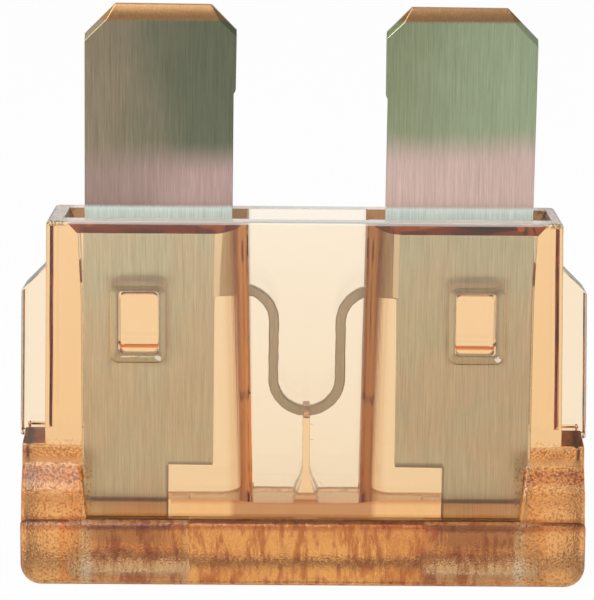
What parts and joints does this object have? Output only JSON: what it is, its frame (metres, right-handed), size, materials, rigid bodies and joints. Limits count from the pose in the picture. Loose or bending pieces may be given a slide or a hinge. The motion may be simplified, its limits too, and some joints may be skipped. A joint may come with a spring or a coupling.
{
  "type": "automotive blade fuse",
  "caption": "Vehicle blade fuse: a clear amber housing with a wide head and end ears, round one stamped metal element with plug-in blades and a curved link.",
  "frame": {"origin": "centre of the head's flat end face, which is the part's lowest plane", "axes": "+Z from the head towards the blade tips, +X across the two blades, +Y through the thickness"},
  "size_m": [0.019, 0.0052, 0.0192],
  "materials": {
    "clear_housing": "clear amber moulded plastic, polished on the flat faces and spark-eroded rough on the end shoulders and head",
    "plated_metal": "plated strip with a fine grain along the blades, slightly tinted, coined at the tips"
  },
  "bodies": {
    "root": {"housing": "clear_housing", "fuse_element": "plated_metal"}
  },
  "joints": []
}
